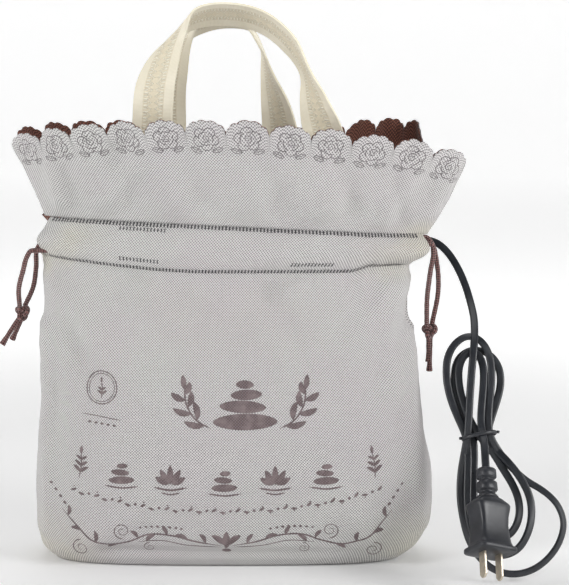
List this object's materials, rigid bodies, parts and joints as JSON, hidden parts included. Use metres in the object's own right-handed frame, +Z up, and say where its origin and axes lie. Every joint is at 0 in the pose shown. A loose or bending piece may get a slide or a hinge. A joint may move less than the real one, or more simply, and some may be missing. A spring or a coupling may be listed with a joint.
{
  "type": "hot stone heater",
  "caption": "Free-standing electric heating bag for massage stones: padded drawstring body, scalloped collar, carrying loops and a mains lead folded in a hank.",
  "frame": {"origin": "middle of the flat base, on the surface the bag stands on", "axes": "+Z up out of the bag's mouth, front of the bag towards -Y, +X to the right seen from the front"},
  "size_m": [0.3813, 0.165, 0.3778],
  "materials": {
    "light_nonwoven": "embossed non-woven, matt",
    "brown_nonwoven": "embossed non-woven, matt",
    "insulating_felt": "needled felt",
    "stiffener_board": "matt board",
    "carrier_cloth": "woven glass cloth",
    "heating_wire": "silicone",
    "control_metal": "satin",
    "splice_sleeve": "satin",
    "cream_webbing": "woven webbing with a glossy braid pattern",
    "brown_cord": "braided cord",
    "black_lead": "satin PVC",
    "tie_plastic": "satin",
    "plug_pins": "nickel plate"
  },
  "bodies": {
    "bag": {"front_panel": "light_nonwoven", "back_panel": "light_nonwoven", "left_gusset": "light_nonwoven", "right_gusset": "light_nonwoven", "base_panel": "light_nonwoven", "front_casing": "light_nonwoven", "back_casing": "light_nonwoven", "front_insulation": "insulating_felt", "back_insulation": "insulating_felt", "left_insulation": "insulating_felt", "right_insulation": "insulating_felt", "base_insulation": "insulating_felt", "base_board": "stiffener_board", "base_lining": "brown_nonwoven", "front_lining": "brown_nonwoven", "back_lining": "brown_nonwoven", "left_lining": "brown_nonwoven", "right_lining": "brown_nonwoven", "front_heater_carrier": "carrier_cloth", "back_heater_carrier": "carrier_cloth", "front_heating_wire": "heating_wire", "back_heating_wire": "heating_wire", "thermostat": "control_metal", "thermal_fuse": "control_metal", "lead_splice": "splice_sleeve", "front_handle_left_end": "cream_webbing", "front_handle_right_end": "cream_webbing", "back_handle_left_end": "cream_webbing", "back_handle_right_end": "cream_webbing", "lead_strain_relief": "black_lead", "power_lead": "black_lead", "lead_hank": "black_lead", "cord_tie": "tie_plastic", "power_lead_tail": "black_lead", "plug_strain_relief": "black_lead", "plug_body": "black_lead", "plug_blade_left": "plug_pins", "plug_blade_right": "plug_pins"},
    "front_flap": {"front_collar": "light_nonwoven", "front_collar_lining": "brown_nonwoven"},
    "back_flap": {"back_collar": "light_nonwoven", "back_collar_lining": "brown_nonwoven"},
    "front_loop": {"front_handle": "cream_webbing"},
    "back_loop": {"back_handle": "cream_webbing"},
    "left_cord": {"left_casing_cord_front": "brown_cord", "left_casing_cord_back": "brown_cord"},
    "left_pull": {"left_strand_front": "brown_cord", "left_strand_back": "brown_cord", "left_knot": "brown_cord"},
    "right_cord": {"right_casing_cord_front": "brown_cord", "right_casing_cord_back": "brown_cord"},
    "right_pull": {"right_strand_front": "brown_cord", "right_strand_back": "brown_cord", "right_knot": "brown_cord"}
  },
  "joints": [
    {"name": "front_collar_fold", "type": "hinge", "parent": "bag", "child": "front_flap", "pos_m": [0, -0.0323, 0.2322], "axis": [0.9988, 0, -0.0479], "range_deg": [0, 110]},
    {"name": "back_collar_fold", "type": "hinge", "parent": "bag", "child": "back_flap", "pos_m": [0, 0.0323, 0.2322], "axis": [-0.9988, 0, 0.0479], "range_deg": [0, 110]},
    {"name": "front_handle_lean", "type": "hinge", "parent": "front_flap", "child": "front_loop", "pos_m": [0.0035, -0.0262, 0.236], "axis": [1, 0, 0], "range_deg": [-2.5, 12], "stiffness_Nm_per_rad": 0.06},
    {"name": "back_handle_lean", "type": "hinge", "parent": "back_flap", "child": "back_loop", "pos_m": [-0.0055, 0.0278, 0.236], "axis": [-1, 0, 0], "range_deg": [-2.5, 12], "stiffness_Nm_per_rad": 0.06},
    {"name": "left_drawstring_pull", "type": "slide", "parent": "bag", "child": "left_cord", "axis": [-1, 0, 0], "range_m": [0, 0.05]},
    {"name": "left_pull_swing", "type": "hinge", "parent": "left_cord", "child": "left_pull", "pos_m": [-0.135, 0, 0.215], "axis": [0, 1, 0], "range_deg": [-5, 80]},
    {"name": "right_drawstring_pull", "type": "slide", "parent": "bag", "child": "right_cord", "axis": [1, 0, 0], "range_m": [0, 0.011]},
    {"name": "right_pull_swing", "type": "hinge", "parent": "right_cord", "child": "right_pull", "pos_m": [0.132, 0, 0.2195], "axis": [0, -1, 0], "range_deg": [-3, 8]}
  ]
}
